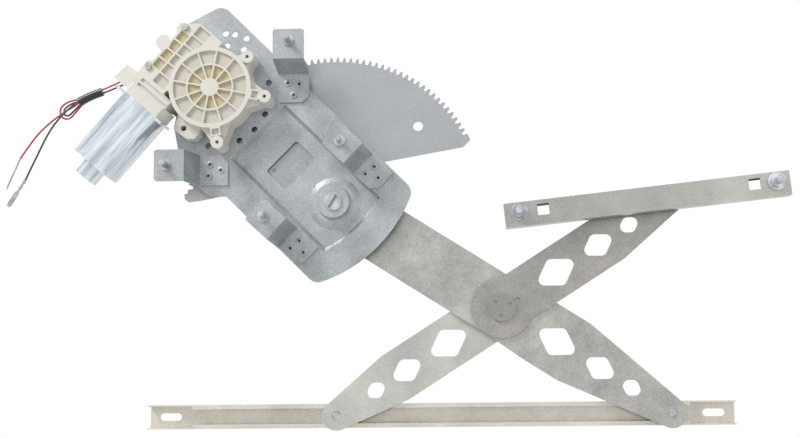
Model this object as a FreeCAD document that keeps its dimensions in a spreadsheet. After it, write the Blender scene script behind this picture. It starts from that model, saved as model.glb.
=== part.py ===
# Crossed-arm window regulator with its gear motor, in millimetres.
# +X runs to the right along the glass channel, +Z is up, and the door panel's seat is the plane Y = 0.
# Everything lies behind that seat, at growing Y. The origin is on the axis of the lift arm's pivot.
import FreeCAD, Part
import math
import os
import Sketcher
from FreeCAD import Placement, Rotation, Vector

SIZES = {
    # The linkage: two crossed arms of equal halves, and the gear sector that swings the lift arm.
    "arm_half": 200, "rest_angle": 32.5, "arm_sheet": 2.5, "arm_width": 62, "arm_shoulder": 66,
    "shoulder_start": 45, "shoulder_end": 85, "half_width": 52, "half_taper": 130, "arm_eye": 31,
    "arm_notch": 3.2, "arm_tip": 15,
    "gear_module": 2.15, "sector_teeth": 140, "pinion_teeth": 16, "mesh_angle": 136.5,
    "sector_first": 26, "sector_last": 175, "sector_sheet": 3, "sector_hub": 34, "sector_hole": 5.1,
    "hole_one": 65, "hole_one_long": 50, "hole_one_high": 32,
    "hole_two": 115.3, "hole_two_long": 40.6, "hole_two_high": 26,
    "hole_three": 152.5, "hole_three_long": 29, "hole_three_high": 18.5, "hole_corner": 6,
    # The base plate, its dish, its window and the domed boss of the lift pivot.
    "plate_sheet": 2, "plate_angle": 45, "plate_top": 240, "plate_foot": 63, "plate_right": 65.5,
    "plate_left": 72, "plate_corner": 12, "dish_depth": 4, "dish_top": 108, "dish_foot": 35,
    "dish_right": 37, "dish_left": 42, "window_top": 74.3, "window_foot": 47, "window_right": 18.6,
    "window_left": 25, "lip_rise": 4, "lip_long": 11, "lip_left": 16, "lip_right": 9.5,
    "boss_height": 11, "boss_foot": 27, "boss_step": 4, "boss_ring": 21, "boss_wall": 17, "boss_top": 16,
    "foot_arc": 145, "dish_arc": 122.7, "spare_hole": 3.2,
    # The four brackets that carry the plate behind the door panel, their rivets and studs.
    "bracket_height": 28, "bracket_sheet": 2, "bracket_base": 29, "bracket_step": 8,
    "bracket_seat": 30, "bracket_width": 31.5, "pair_width": 28, "pair_angle": 137,
    "rivet_hole": 2.3, "rivet_head": 3.6, "rivet_rise": 1.2,
    "stud_radius": 3, "stud_neck": 3.6, "stud_length": 14, "stud_collar": 5.5, "stud_collar_rise": 1.6,
    # Pivot pins and the gaps between the layers of sheet.
    "fit": 0.05, "running_gap": 0.3, "sector_gap": 1.5, "arm_play": 0.5, "arm_spacer": 3,
    "lift_pin": 6, "lift_head": 9, "lift_slot": 3, "centre_pin": 8, "centre_disc": 14,
    "centre_disc_rise": 3,
    "slider_pin": 5, "flat_head": 1.2,
    # The two channels and the plastic sliders that run in them.
    "channel_sheet": 1.6, "channel_high": 24.4, "channel_deep": 12, "channel_lip": 4.5,
    "glass_left": 194.7, "glass_right": 402.2, "glass_tab": 46, "glass_play": 1.5,
    "slot_long": 22.4, "slot_high": 7.7, "slot_left": 173.7, "slot_right": 381.3,
    "equalizer_play": 3.5, "channel_tilt": 5.94, "equalizer_left": 165.8, "equalizer_right": 119.5,
    "bolt_left": 150.7, "bolt_right": 106, "bolt_offset": 2.5, "bolt_radius": 4, "bolt_neck": 4.6,
    "bolt_length": 16, "bolt_flange": 9, "square_hole": 11.5, "slider_long": 32,
    # The gear motor: moulded housing, output gear and steel can.
    "motor_angle": 49, "motor_offset": 39.8, "motor_depth": 18, "housing_front": 6, "drum_radius": 41.5,
    "drum_wall": 1.8, "housing_floor": 2.6, "hub_ring": 9.2, "middle_ring": 23.2, "rim_inside": 37.2,
    "rib_count": 12, "rib_thick": 1.6, "housing_skin": 1.7, "ear_radius": 6.4, "ear_bore": 1.8,
    "tunnel_right": 42.4, "tunnel_top": 62, "cell_rib": 1.8, "flange_thick": 12,
    "flange_back": 58, "can_radius": 26, "can_flat": 16.5, "can_length": 77, "can_wall": 1.5,
    "can_bar": 0.6, "can_lip": 3, "can_boss": 12, "can_boss_long": 15.5, "cover_thick": 2.4,
    "wheel_teeth": 72, "wheel_module": 0.9, "wheel_wide": 10,
    "shaft_radius": 4, "worm_radius": 6.2, "worm_half": 20, "core_radius": 14.3, "core_long": 46,
    "hub_shaft": 8, "pinion_shaft": 6, "pinion_wide": 6, "sector_rivet": 3, "rivet_ring": 22,
    "magnet_inside": 17, "magnet_half": 12, "screw_head": 3.6,
    # The two motor leads, taped together near the housing.
    "wire_radius": 0.9, "tape_radius": 4.2, "bare_radius": 0.8, "crimp_radius": 1.6,
}

DOCUMENT = FreeCAD.newDocument("window_regulator")
SHEET = DOCUMENT.addObject("Spreadsheet::Sheet", "sizes")
PIECES = []


class Size(float):
    """A number that keeps the sheet expression it comes from."""

    def __new__(cls, value, text):
        number = super().__new__(cls, value)
        number.text = text
        return number

    def __add__(self, other):
        return Size(float(self) + float(other), f"({self.text} + {words(other)})")

    def __radd__(self, other):
        return Size(float(other) + float(self), f"({words(other)} + {self.text})")

    def __sub__(self, other):
        return Size(float(self) - float(other), f"({self.text} - {words(other)})")

    def __rsub__(self, other):
        return Size(float(other) - float(self), f"({words(other)} - {self.text})")

    def __mul__(self, other):
        return Size(float(self) * float(other), f"({self.text} * {words(other)})")

    def __rmul__(self, other):
        return Size(float(other) * float(self), f"({words(other)} * {self.text})")

    def __truediv__(self, other):
        return Size(float(self) / float(other), f"({self.text} / {words(other)})")

    def __rtruediv__(self, other):
        return Size(float(other) / float(self), f"({words(other)} / {self.text})")

    def __neg__(self):
        return Size(-float(self), f"(0 - {self.text})")


def words(value):
    """The expression of a size, or the plain number."""
    return value.text if isinstance(value, Size) else f"({float(value):.6g})"


def cosine(angle):
    return Size(math.cos(math.radians(float(angle))), f"cos({words(angle)})")


def sine(angle):
    return Size(math.sin(math.radians(float(angle))), f"sin({words(angle)})")


def root(value):
    return Size(math.sqrt(float(value)), f"sqrt({words(value)})")


def read_sheet():
    """Fill the sheet and hand back its cells by alias."""
    cells = {}
    for row, (alias, value) in enumerate(SIZES.items(), start=1):
        SHEET.set(f"A{row}", alias)
        SHEET.set(f"B{row}", str(value))
        SHEET.setAlias(f"B{row}", alias)
        cells[alias] = Size(value, f"sizes.{alias}")
    DOCUMENT.recompute()
    return cells


class Cells:
    def __init__(self, cells):
        self.__dict__.update(cells)


s = Cells(read_sheet())


def bind(target, name, value):
    """Set a property, and tie it to the sheet where the value comes from there."""
    if isinstance(value, Size):
        target.setExpression(name, value.text)
    elif value:
        target.setExpression(name, f"{float(value):.6g}")


def turned(point, angle):
    """The point turned counter-clockwise, as seen from the front, about the origin."""
    x, z = point
    return (x * cosine(angle) - z * sine(angle), x * sine(angle) + z * cosine(angle))


def moved(point, step):
    return (point[0] + step[0], point[1] + step[1])


# Shared places, all from the sizes above.
PLATE_FRONT = s.bracket_height + s.bracket_sheet
PLATE_BACK = PLATE_FRONT + s.plate_sheet
DISH_BACK = PLATE_BACK + s.dish_depth
SECTOR_FRONT = DISH_BACK + s.sector_gap
ARM_FRONT = SECTOR_FRONT + s.sector_sheet
ARM_BACK = ARM_FRONT + s.arm_sheet
UPPER_FRONT = ARM_FRONT - s.arm_play - s.arm_sheet
LOWER_FRONT = ARM_BACK + s.arm_spacer
LOWER_BACK = LOWER_FRONT + s.arm_sheet
GLASS_FRONT = LOWER_BACK + s.glass_play
GLASS_BACK = GLASS_FRONT + s.channel_deep
EQUALIZER_BACK = UPPER_FRONT - s.equalizer_play
EQUALIZER_FRONT = EQUALIZER_BACK - s.channel_deep
CENTRE = (s.arm_half * cosine(s.rest_angle), -s.arm_half * sine(s.rest_angle))
RIGHT_END = (2 * CENTRE[0], 2 * CENTRE[1])
LEFT_END = (0, 2 * CENTRE[1])
UPPER_END = (2 * CENTRE[0], 0)
GEAR_CENTRES = s.gear_module * (s.sector_teeth + s.pinion_teeth) / 2
OUTPUT = turned((GEAR_CENTRES, 0), s.mesh_angle)
MOTOR_MIDDLE = s.motor_depth
HOUSING_FLOOR = s.housing_front + s.housing_floor
CAVITY_FRONT = HOUSING_FLOOR + s.housing_skin
CAVITY_RADIUS = s.drum_radius - s.drum_wall


def new_body(label, place=(0, 0), angle=0):
    """A body whose frame is turned clockwise, as seen from the front, and carried to its place."""
    body = DOCUMENT.addObject("PartDesign::Body", label)
    body.Label = label
    body.Placement = Placement(Vector(0, 0, 0), Rotation(Vector(0, 1, 0), float(angle)))
    bind(body, ".Placement.Rotation.Angle", angle)
    bind(body, ".Placement.Base.x", place[0])
    bind(body, ".Placement.Base.z", place[1])
    return body


def piece(body):
    """Count a finished body as one of the object's pieces."""
    PIECES.append(body)
    return body


def new_sketch(body, plane, offset=0):
    """An empty sketch parallel to one of the body's own planes."""
    sketch = body.newObject("Sketcher::SketchObject", "Sketch")
    support = next(item for item in body.Origin.OriginFeatures if item.Role == plane)
    sketch.AttachmentSupport = [(support, "")]
    sketch.MapMode = "FlatFace"
    bind(sketch, "AttachmentOffset.Base.z", offset)
    return sketch


def front_sketch(body, depth):
    """A sketch seen from the front: X to the right, Z up, at the given depth Y."""
    return new_sketch(body, "XZ_Plane", -depth if isinstance(depth, Size) else -float(depth))


def fix(sketch, kind, index, end, value):
    """Fix one coordinate of a sketch point from the sketch's origin."""
    count = sketch.addConstraint(Sketcher.Constraint(kind, -1, 1, index, end, float(value)))
    if isinstance(value, Size):
        sketch.setExpression(f"Constraints[{count}]", value.text)


def add_path(sketch, points, arcs=None):
    """Closed outline of straight edges. arcs gives the centre and sense of those that are round."""
    arcs = arcs or {}
    first = sketch.GeometryCount
    count = len(points)
    ends = []
    for index, here in enumerate(points):
        there = points[(index + 1) % count]
        if index in arcs:
            ends.append(add_arc(sketch, here, there, *arcs[index]))
        else:
            start, end = (Vector(float(x), float(y), 0) for x, y in (here, there))
            sketch.addGeometry(Part.LineSegment(start, end))
            ends.append((1, 2))
    for index, here in enumerate(points):
        before = (index - 1) % count
        sketch.addConstraint(Sketcher.Constraint(
            "Coincident", first + before, ends[before][1], first + index, ends[index][0]))
        if before not in arcs:
            fix(sketch, "DistanceX", first + index, ends[index][0], here[0])
            fix(sketch, "DistanceY", first + index, ends[index][0], here[1])
            continue
        middle = arcs[before][0]
        flat = abs(float(here[0]) - float(middle[0])) < abs(float(here[1]) - float(middle[1]))
        kind, value = ("DistanceX", here[0]) if flat else ("DistanceY", here[1])
        fix(sketch, kind, first + index, ends[index][0], value)


def add_arc(sketch, here, there, middle, sense):
    """Arc about a fixed middle, counter-clockwise for sense 1. Returns its ends in path order."""
    start, stop = (here, there) if sense > 0 else (there, here)
    angles = [math.atan2(p[1] - middle[1], p[0] - middle[0]) for p in (start, stop)]
    radius = math.hypot(float(here[0]) - float(middle[0]), float(here[1]) - float(middle[1]))
    circle = Part.Circle(Vector(float(middle[0]), float(middle[1]), 0), Vector(0, 0, 1), radius)
    index = sketch.addGeometry(Part.ArcOfCircle(circle, *angles))
    fix(sketch, "DistanceX", index, 3, middle[0])
    fix(sketch, "DistanceY", index, 3, middle[1])
    return (1, 2) if sense > 0 else (2, 1)


def add_circle(sketch, middle, radius):
    circle = Part.Circle(Vector(float(middle[0]), float(middle[1]), 0), Vector(0, 0, 1), float(radius))
    index = sketch.addGeometry(circle)
    fix(sketch, "DistanceX", index, 3, middle[0])
    fix(sketch, "DistanceY", index, 3, middle[1])
    count = sketch.addConstraint(Sketcher.Constraint("Radius", index, float(radius)))
    if isinstance(radius, Size):
        sketch.setExpression(f"Constraints[{count}]", radius.text)


def box(left, low, right, high):
    """The four corners of an upright rectangle."""
    return [(left, low), (right, low), (right, high), (left, high)]


def add_feature(body, kind, sketch, length, reverse, taper=0):
    feature = body.newObject(f"PartDesign::{kind}", kind)
    feature.Profile = sketch
    bind(feature, "Length", length)
    feature.Reversed = reverse
    if taper:
        feature.TaperAngle = taper
    return feature


def pad(body, sketch, length, taper=0):
    """Thicken a front sketch backwards, away from the door panel."""
    return add_feature(body, "Pad", sketch, length, True, taper)


def pocket(body, sketch, length, taper=0):
    """Sink a front sketch backwards."""
    return add_feature(body, "Pocket", sketch, length, False, taper)


def pad_along(body, sketch, length, reverse=False):
    """Thicken a sketch of the YZ plane along X."""
    return add_feature(body, "Pad", sketch, length, reverse)


def spin(body, points, axis="V_Axis", cut=False, offset=0):
    """Turn a half profile of the XY plane about the Y axis, or about X for H_Axis."""
    sketch = new_sketch(body, "XY_Plane", offset)
    add_path(sketch, points)
    kind = "Groove" if cut else "Revolution"
    feature = body.newObject(f"PartDesign::{kind}", kind)
    feature.Profile = sketch
    feature.ReferenceAxis = (sketch, [axis])
    feature.Angle = 360
    return feature


def repeat_round(body, feature, sketch, count):
    """Repeat a feature evenly about the normal of its sketch."""
    pattern = body.newObject("PartDesign::PolarPattern", "PolarPattern")
    pattern.Originals = [feature]
    pattern.Axis = (sketch, ["N_Axis"])
    pattern.Angle = 360
    bind(pattern, "Occurrences", count)
    body.Tip = pattern
    return pattern


def round_corners(body, corners, radius):
    """Round the sheet's corners at the given places of its front view."""
    DOCUMENT.recompute()
    found = []
    for index, edge in enumerate(body.Tip.Shape.Edges, start=1):
        ends = [vertex.Point for vertex in edge.Vertexes]
        if len(ends) != 2 or math.hypot(ends[0].x - ends[1].x, ends[0].z - ends[1].z) > 0.01:
            continue
        middle = edge.CenterOfMass
        if any(math.hypot(middle.x - float(x), middle.z - float(z)) < 0.05 for x, z in corners):
            found.append(f"Edge{index}")
    fillet = body.newObject("PartDesign::Fillet", "Fillet")
    fillet.Base = (body.Tip if body.Tip != fillet else fillet.BaseFeature, found)
    bind(fillet, "Radius", radius)
    return fillet


def turned_body(label, points, place, angle=0):
    """A turned piece on an axis along Y, from its half profile of radius and depth."""
    body = new_body(label, place, angle)
    spin(body, points)
    return body


def steps(*rings):
    """Half profile of a solid turned piece, from (radius, from depth, to depth) rings in a row."""
    points = [(0, rings[0][1])]
    for radius, start, stop in rings:
        points.append((radius, start))
        points.append((radius, stop))
    points.append((0, rings[-1][2]))
    return points


def group(label, master, places):
    """Identical pieces as separate solids of one node, linked to their master."""
    links = []
    for index, (place, angle) in enumerate(places):
        link = DOCUMENT.addObject("App::Link", f"{label}_{index + 1}")
        link.LinkedObject = master
        link.LinkTransform = False
        link.Placement = Placement(Vector(0, 0, 0), Rotation(Vector(0, 1, 0), float(angle)))
        bind(link, ".Placement.Rotation.Angle", angle)
        bind(link, ".Placement.Base.x", place[0])
        bind(link, ".Placement.Base.z", place[1])
        links.append(link)
    compound = DOCUMENT.addObject("Part::Compound", label)
    compound.Label = label
    compound.Links = links
    PIECES.append(compound)
    return compound


RIVET_TURNS = (0, 120, 240)

# Arms. Each is cut from sheet in its own frame, with X running outwards along the arm.

def arm_holes(body, depth, thick, start):
    """The three lozenge holes that lighten every half arm, with rounded corners."""
    sketch = front_sketch(body, depth)
    corners = []
    for middle, long, high in (
        (s.hole_one, s.hole_one_long, s.hole_one_high),
        (s.hole_two, s.hole_two_long, s.hole_two_high),
        (s.hole_three, s.hole_three_long, s.hole_three_high),
    ):
        x = start + middle
        lozenge = [(x - long / 2, 0), (x, -high / 2), (x + long / 2, 0), (x, high / 2)]
        add_path(sketch, lozenge)
        corners += lozenge
    pocket(body, sketch, thick)
    round_corners(body, corners, s.hole_corner)


def arm_bores(body, depth, thick, bores):
    sketch = front_sketch(body, depth)
    for x, radius in bores:
        add_circle(sketch, (x, 0), radius + s.fit)
    pocket(body, sketch, thick)


def make_lift_arm():
    """Long arm from the pivot in the plate to the glass channel, widest beyond its middle pivot."""
    body = new_body("lift_arm", (0, 0), s.rest_angle)
    wide, far, middle = s.arm_width / 2, 2 * s.arm_half, s.arm_half
    shoulder = s.arm_shoulder / 2
    top = [(middle + s.shoulder_end, shoulder), (middle + s.shoulder_start, shoulder), (middle, wide)]
    low = [(x, -z) for x, z in reversed(top)]
    points = [(0, -wide), *low, (far, -s.arm_tip), (far, s.arm_tip), *top, (0, wide)]
    sketch = front_sketch(body, ARM_FRONT)
    add_path(sketch, points, {4: ((far, 0), 1), 9: ((0, 0), 1)})
    pad(body, sketch, s.arm_sheet)
    arm_bores(body, ARM_FRONT, s.arm_sheet, ((0, s.lift_pin), (middle, s.centre_pin), (far, s.slider_pin)))
    arm_holes(body, ARM_FRONT, s.arm_sheet, middle)
    rivets = front_sketch(body, ARM_FRONT)
    for turn in RIVET_TURNS:
        add_circle(rivets, turned((s.rivet_ring, 0), turn), s.sector_rivet + s.fit)
    pocket(body, rivets, s.arm_sheet)
    return piece(body)


HUB_NOTCH = (16.6, -2.5)


def make_half_arm(label, depth, angle, notch=None):
    """Half of the equalizer arm: a round end on the centre pivot that tapers to its slider pin."""
    body = new_body(label, CENTRE, angle)
    wide, far = s.half_width / 2, s.arm_half
    neck = root(s.arm_eye * s.arm_eye - wide * wide)
    points = [(neck, -wide), (s.half_taper, -wide), (far, -s.arm_tip),
              (far, s.arm_tip), (s.half_taper, wide), (neck, wide)]
    sketch = front_sketch(body, depth)
    add_path(sketch, points, {2: ((far, 0), 1), 5: ((0, 0), 1)})
    pad(body, sketch, s.arm_sheet)
    arm_bores(body, depth, s.arm_sheet, ((0, s.centre_pin), (far, s.slider_pin)))
    arm_holes(body, depth, s.arm_sheet, 0)
    if notch:
        mark = front_sketch(body, depth)
        add_circle(mark, notch, s.arm_notch)
        pocket(body, mark, s.arm_sheet)
    return piece(body)


def tooth_gap(pitch_radius, mesh):
    """Corners of one gap between teeth, across the X axis at the pitch radius, with some play."""
    top, foot = pitch_radius + 1.3 * mesh, pitch_radius - 1.25 * mesh
    narrow, half, wide = 0.52 * mesh, 0.9 * mesh, 1.42 * mesh
    return [(foot, -narrow), (pitch_radius, -half), (top, -wide),
            (top, wide), (pitch_radius, half), (foot, narrow)]


def make_sector():
    """Toothed quadrant riveted to the lift arm. Its teeth run well past the pinion both ways."""
    body = new_body("sector_gear")
    pitch = s.gear_module * s.sector_teeth / 2
    tip = pitch + s.gear_module
    start = turned((tip, 0), s.sector_first)
    stop = turned((tip, 0), s.sector_last)
    step = s.gear_module
    points = [start, stop, (-155.4, 13), (-155.2, 8), (-151.6, 4.7), (-139.4, 6), (-113.6, 11),
              (-s.sector_hub, -22), (-12, -s.sector_hub), (12, -s.sector_hub), (s.sector_hub, -18),
              (s.sector_hub, 40.6),
              (start[0] - 3 * step, start[1] - 4.5 * step), (start[0] + 0.4 * step, start[1] - 1.2 * step)]
    sketch = front_sketch(body, SECTOR_FRONT)
    add_path(sketch, points, {0: ((0, 0), 1)})
    pad(body, sketch, s.sector_sheet)
    holes = front_sketch(body, SECTOR_FRONT)
    add_circle(holes, (0, 0), s.lift_pin + s.fit)
    add_circle(holes, (84.9, 79.4), s.sector_hole)
    for turn in RIVET_TURNS:
        add_circle(holes, turned((s.rivet_ring, 0), turn - s.rest_angle), s.sector_rivet + s.fit)
    pocket(body, holes, s.sector_sheet)
    mark = front_sketch(body, SECTOR_FRONT)
    add_circle(mark, (-62.6, 35.8), 2.2)
    pocket(body, mark, 2)
    cut_sector_teeth(body, pitch)
    return piece(body)


def cut_sector_teeth(body, pitch):
    """Gaps along the rim, phased so that one faces the pinion."""
    each = 360 / s.sector_teeth
    ahead = int((s.mesh_angle - s.sector_first) / each)
    first = s.mesh_angle - ahead * each
    count = int((s.sector_last - first) / each) + 1
    sketch = front_sketch(body, SECTOR_FRONT)
    add_path(sketch, [turned(corner, first) for corner in tooth_gap(pitch, s.gear_module)])
    gap = pocket(body, sketch, s.sector_sheet)
    pattern = body.newObject("PartDesign::PolarPattern", "PolarPattern")
    pattern.Originals = [gap]
    pattern.Axis = (sketch, ["N_Axis"])
    bind(pattern, "Angle", each * (count - 1))
    pattern.Occurrences = count
    body.Tip = pattern


# The base plate, in a frame whose X runs down the plate towards its foot.

def in_plate(point):
    """A place of the front view, carried into the plate's frame."""
    return turned(point, s.plate_angle)


def in_motor(point):
    """A place of the motor's frame, carried into the plate's frame."""
    return in_plate(moved(OUTPUT, turned(point, s.motor_angle)))


FLANGE_EDGE = -45
FRONT_SCREW = 1.5
FRONT_SCREWS = ((30, 59.2), (-24, 61.3))
EARS = ((47.6, -8.6), (28.3, -48.7), (-37.3, -42.9))
SPARE_HOLES = ((-204.9, 46.5), (-197.3, 52.6), (-185.9, 58), (-194.7, 38.3), (-179.5, 47.7),
               (-136.1, 41.1), (-115.6, 15.5), (-112.1, -3.2), (-115.1, -21.9), (-134.4, -48.3))


def make_base_plate():
    """Pressed plate: a flat rim, a dish behind it and a boss that rises from the dish."""
    body = new_body("base_plate", (0, 0), s.plate_angle)
    outline = [
        (-s.plate_top, 28), (-s.plate_top, 20), in_motor((FLANGE_EDGE, 56)), in_motor((FLANGE_EDGE, 15)),
        in_motor((-54, 10)),
        (-155, -s.plate_left), (-118, -86), (-96, -84), (-84, -s.plate_left),
        on_arc(s.plate_foot, s.foot_arc, -s.plate_left), on_arc(s.plate_foot, s.foot_arc, s.plate_right),
        (12 - s.plate_top, s.plate_right),
    ]
    sketch = front_sketch(body, PLATE_FRONT)
    add_path(sketch, outline, {9: ((s.plate_foot - s.foot_arc, 0), 1)})
    pad(body, sketch, s.plate_sheet)
    round_corners(body, [outline[index] for index in (9, 10, 11)], s.plate_corner)
    make_dish(body)
    make_boss(body)
    cut_plate_holes(body)
    return piece(body)


def on_arc(foot, radius, height):
    """The point at a given height on the arc that bounds the foot of the plate or of its dish."""
    return (foot - radius + root(radius * radius - height * height), height)


def make_dish(body):
    """The dish: the same outline pressed through the sheet, with sloping walls."""
    low = on_arc(s.dish_foot, s.dish_arc, -s.dish_left)
    high = on_arc(s.dish_foot, s.dish_arc, s.dish_right)
    outline = [(-s.dish_top, -s.dish_left), low, high, (-s.dish_top, s.dish_right)]
    round_foot = {1: ((s.dish_foot - s.dish_arc, 0), 1)}
    back = front_sketch(body, PLATE_BACK)
    add_path(back, outline, round_foot)
    pad(body, back, s.dish_depth, -40)
    front = front_sketch(body, PLATE_FRONT)
    add_path(front, outline, round_foot)
    pocket(body, front, s.dish_depth, -40)


def make_boss(body):
    """Hollow stepped boss round the lift pivot, drawn forwards out of the dish."""
    sheet = s.plate_sheet
    foot = DISH_BACK - sheet
    step, top = foot - s.boss_step, foot - s.boss_height
    spin(body, [(0, DISH_BACK), (s.boss_foot, DISH_BACK), (s.boss_foot, foot), (s.boss_ring, step),
                (s.boss_wall, step), (s.boss_top, top), (0, top)])
    inner_foot, inner_ring = s.boss_foot - 0.7 * sheet, s.boss_ring - 0.4 * sheet
    spin(body, [(0, DISH_BACK), (inner_foot, DISH_BACK), (inner_ring, step + sheet),
                (s.boss_wall - sheet, step + sheet), (s.boss_top - sheet, top + sheet), (0, top + sheet)],
         cut=True)


def cut_plate_holes(body):
    """Window, bores and fixing holes through the finished pressing."""
    sketch = front_sketch(body, 0)
    window = box(-s.window_top, -s.window_left, -s.window_foot, s.window_right)
    add_path(sketch, window)
    add_circle(sketch, (0, 0), s.lift_pin + s.fit)
    add_circle(sketch, in_motor((0, 0)), s.gear_module * (s.pinion_teeth / 2 + 1) + 1)
    for ear in EARS:
        add_circle(sketch, in_motor(ear), s.ear_bore + 0.4)
    for hole in SPARE_HOLES:
        add_circle(sketch, hole, s.spare_hole)
    for hole in RIVETS:
        add_circle(sketch, in_plate(hole), s.rivet_hole)
    pocket(body, sketch, 2 * PLATE_FRONT)
    round_corners(body, window, 3)
    make_window_lip(body)


def make_window_lip(body):
    """Lip on the window's lower edge, between two reliefs, bent up out of the dish."""
    bend, tip = 0.5 - s.window_foot, -s.window_foot - s.lip_long
    front, back = DISH_BACK - s.plate_sheet, DISH_BACK
    sketch = new_sketch(body, "XY_Plane", -s.lip_left)
    add_path(sketch, [(bend, back), (bend, front), (tip, front - s.lip_rise),
                      (tip + 0.8, back - s.lip_rise)])
    add_feature(body, "Pad", sketch, s.lip_left + s.lip_right, False)


# Brackets: bent straps from the plate's face to the door panel, each with one stud.

BRACKETS = {
    "bracket_top": ((-41, 133), 90, s.bracket_width, 1),
    "bracket_left": ((-137, 35.2), 180, s.bracket_width, 1),
    "bracket_right": ((29.5, 39), s.pair_angle, s.pair_width, -1),
    "bracket_lower": ((-46.5, -35.5), s.pair_angle, s.pair_width, -1),
}


def bracket_place(label, across, along):
    """A place on a bracket, from the foot of its step, in the front view."""
    place, angle, _, _ = BRACKETS[label]
    return moved(place, turned((along, -across), angle))


RIVET_SPOTS = ((-5.8, -9), (5.8, -10.5), (0, -21.5))
RIVETS = [bracket_place(label, across, along) for label in BRACKETS for across, along in RIVET_SPOTS]
STUDS = [bracket_place(label, 0, s.bracket_step + 18) for label in BRACKETS]


def make_bracket(label):
    """Strap bent twice. Its base lies on the plate and its seat on the door panel."""
    place, angle, width, side = BRACKETS[label]
    body = new_body(label, place, 90 - angle)
    sheet, base, step, high = s.bracket_sheet, s.bracket_base, s.bracket_step, s.bracket_height
    seat = step + s.bracket_seat
    bend = 0.75 * sheet
    points = [(high, -base), (high + sheet, -base), (high + sheet, bend), (sheet, step + bend),
              (sheet, seat), (0, seat), (0, step), (high, 0)]
    sketch = new_sketch(body, "YZ_Plane", -width / 2)
    add_path(sketch, points)
    pad_along(body, sketch, width)
    trim_bracket(body, width, side, seat)
    return piece(body)


def trim_bracket(body, width, side, seat):
    """Clip one corner of the base, bore the rivet holes and the stud hole, and round the seat."""
    half = width / 2
    clip = front_sketch(body, 0)
    add_path(clip, [(side * half, -s.bracket_base), (side * (half - 7), -s.bracket_base),
                    (side * half, 7 - s.bracket_base)])
    for across, along in RIVET_SPOTS:
        add_circle(clip, (across, along), s.rivet_hole)
    add_circle(clip, (0, s.bracket_step + 18), s.stud_neck + s.fit)
    pocket(body, clip, 2 * s.bracket_height)
    round_corners(body, [(-half, seat), (half, seat)], 3)


def make_fasteners():
    """Rivets through bracket and plate, and the studs that clamp the door panel."""
    front = s.bracket_height - s.rivet_rise
    back = PLATE_BACK + s.rivet_rise
    shank = s.rivet_hole - s.fit
    rivet = turned_body("rivet", [
        (0, front + 0.9), (1.3, front + 0.6), (1.7, front), (s.rivet_head, front + 0.4),
        (s.rivet_head, s.bracket_height), (shank, s.bracket_height), (shank, PLATE_BACK),
        (s.rivet_head, PLATE_BACK), (s.rivet_head - 0.6, back), (0, back)], (0, 0))
    group("bracket_rivets", rivet, [(place, 0) for place in RIVETS])
    sheet, rise = s.bracket_sheet, s.stud_collar_rise
    tip = 0.8 - s.stud_length
    stud = turned_body("stud", steps(
        (s.stud_radius - 0.6, -s.stud_length, tip), (s.stud_radius, tip, -rise), (s.stud_collar, -rise, 0),
        (s.stud_neck, 0, sheet), (s.stud_collar, sheet, sheet + rise)), (0, 0))
    group("panel_studs", stud, [(place, 0) for place in STUDS])


# Pivots.

def make_pivots():
    """The lift pivot with its bush, the fixed centre hub with its spacer, and the slider pins."""
    top = DISH_BACK - s.plate_sheet - s.boss_height
    head = s.flat_head + 0.8
    pin = turned_body("pivot_pin", [
        (0, top - head), (s.lift_head, top - head), (s.lift_head, top), (s.lift_pin, top),
        (s.lift_pin, ARM_BACK), (s.lift_head, ARM_BACK), (s.lift_head, ARM_BACK + head),
        (0, ARM_BACK + head)], (0, 0))
    slot = front_sketch(pin, top - head)
    along, across = turned((7.6, 0), 58), turned((0, s.lift_slot / 2), 58)
    add_path(slot, [moved((i * along[0], i * along[1]), (k * across[0], k * across[1]))
                    for i, k in ((-1, -1), (1, -1), (1, 1), (-1, 1))])
    pocket(pin, slot, head + 2)
    piece(pin)
    inside = top + s.plate_sheet
    bush = turned_body("pivot_bush", [
        (s.lift_pin + s.fit, inside), (s.lift_head + 4, inside), (s.lift_head + 4, SECTOR_FRONT - 0.05),
        (s.lift_pin + s.fit, SECTOR_FRONT - 0.05)], (0, 0))
    piece(bush)
    front = UPPER_FRONT - s.centre_disc_rise
    back = LOWER_BACK + s.flat_head
    hub = turned_body("centre_pivot_hub", steps(
        (s.centre_disc, front, UPPER_FRONT), (s.centre_pin, UPPER_FRONT, LOWER_BACK),
        (s.centre_disc - 3, LOWER_BACK, back)), CENTRE)
    dimple_hub(hub, front)
    piece(hub)
    spacer = turned_body("centre_spacer", [
        (s.centre_pin + s.fit, ARM_BACK + 0.05), (s.centre_disc, ARM_BACK + 0.05),
        (s.centre_disc, LOWER_FRONT), (s.centre_pin + s.fit, LOWER_FRONT)], CENTRE)
    piece(spacer)
    make_slider_pin("right_pin", RIGHT_END, ARM_FRONT, GLASS_BACK - s.channel_sheet)
    make_slider_pin("left_pin", LEFT_END, LOWER_FRONT, GLASS_BACK - s.channel_sheet)
    far = EQUALIZER_FRONT + s.channel_sheet + 2 * s.running_gap
    end = UPPER_FRONT + s.arm_sheet
    piece(turned_body("upper_pin", steps(
        (s.slider_pin - s.fit, far, end - 0.5), (s.slider_pin - 1, end - 0.5, end)), UPPER_END))


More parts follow.
